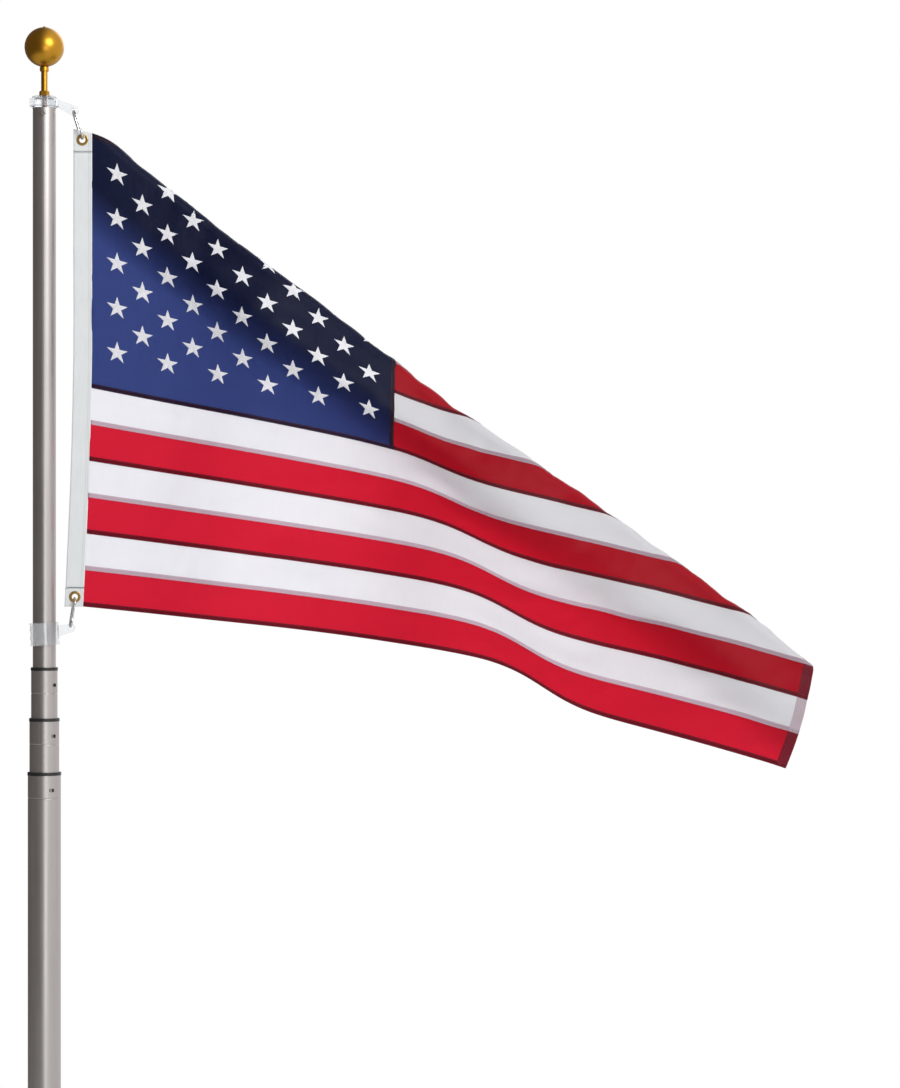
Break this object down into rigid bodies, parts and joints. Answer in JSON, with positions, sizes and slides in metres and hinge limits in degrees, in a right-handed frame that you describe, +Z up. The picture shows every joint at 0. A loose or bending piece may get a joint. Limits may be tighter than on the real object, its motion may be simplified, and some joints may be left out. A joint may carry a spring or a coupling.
{
  "type": "telescoping flagpole",
  "caption": "Telescoping aluminium flagpole with a gold ball, swivel ring, guide collar, snap hooks and a sewn striped flag folded over in a light wind.",
  "frame": {"origin": "centre of the base tube's foot, on the ground", "axes": "+Z up the pole, +X towards the fly of the flag, -Y towards the side that the picture shows"},
  "size_m": [1.5208, 0.5395, 3.0394],
  "materials": {
    "satin_tube": "satin",
    "black_ring": "fine moulded",
    "grey_plug": "moulded",
    "spring_steel": "sprung",
    "clear_plastic": "clear moulded",
    "screw_steel": "plated",
    "gold_metal": "satin gold",
    "copper_rod": "rolled thread",
    "hook_steel": "polished wire",
    "eyelet_brass": "rolled",
    "heading_canvas": "plain canvas",
    "navy_cloth": "woven nylon",
    "red_cloth": "woven nylon",
    "white_cloth": "woven nylon"
  },
  "bodies": {
    "base": {"base_tube": "satin_tube", "base_plug": "grey_plug", "base_ring": "black_ring"},
    "lower_section": {"lower_tube": "satin_tube", "lower_plug": "grey_plug", "lower_button": "spring_steel", "lower_ring": "black_ring"},
    "middle_section": {"middle_tube": "satin_tube", "middle_plug": "grey_plug", "middle_button": "spring_steel", "middle_ring": "black_ring"},
    "top_section": {"top_tube": "satin_tube", "top_plug": "grey_plug", "top_button": "spring_steel", "truck_plug": "clear_plastic", "truck_lid": "clear_plastic", "truck_screw": "screw_steel", "lid_nut": "gold_metal", "ball_stem": "gold_metal", "ball_rod": "copper_rod", "ball_lower_half": "gold_metal", "ball_upper_half": "gold_metal"},
    "flag": {"swivel_ring": "clear_plastic", "upper_snap": "hook_steel", "upper_grommet": "eyelet_brass", "heading": "heading_canvas", "canton": "navy_cloth", "stripe_01": "red_cloth", "stripe_02": "white_cloth", "stripe_03": "red_cloth", "stripe_04": "white_cloth", "stripe_05": "red_cloth", "stripe_06": "white_cloth", "stripe_07": "red_cloth", "stripe_08": "white_cloth", "stripe_09": "red_cloth", "stripe_10": "white_cloth", "stripe_11": "red_cloth", "stripe_12": "white_cloth", "stripe_13": "red_cloth", "lower_grommet": "eyelet_brass", "lower_snap": "hook_steel", "lower_collar": "clear_plastic"},
    "upper_gate_body": {"upper_gate": "hook_steel"},
    "lower_gate_body": {"lower_gate": "hook_steel"}
  },
  "joints": [
    {"name": "lower_slide", "type": "slide", "parent": "base", "child": "lower_section", "axis": [0, 0, 1], "range_m": [0, 1.392]},
    {"name": "middle_slide", "type": "slide", "parent": "lower_section", "child": "middle_section", "axis": [0, 0, 1], "range_m": [0, 1.398]},
    {"name": "top_slide", "type": "slide", "parent": "middle_section", "child": "top_section", "axis": [0, 0, 1], "range_m": [-0.034, 0.411]},
    {"name": "flag_swivel", "type": "hinge", "parent": "top_section", "child": "flag", "pos_m": [0, 0, 2.89], "axis": [0, 0, 1], "continuous": true},
    {"name": "upper_gate_hinge", "type": "hinge", "parent": "flag", "child": "upper_gate_body", "pos_m": [0.07129, -0.01174, 2.83794], "axis": [0.9313, 0.2079, 0.299], "range_deg": [-18, 0], "stiffness_Nm_per_rad": 0.02, "springref_deg": 11.46},
    {"name": "lower_gate_hinge", "type": "hinge", "parent": "flag", "child": "lower_gate_body", "pos_m": [0.05528, -0.01174, 1.8952], "axis": [0.9664, 0.2079, -0.1513], "range_deg": [-18, 0], "stiffness_Nm_per_rad": 0.02, "springref_deg": 11.46}
  ]
}
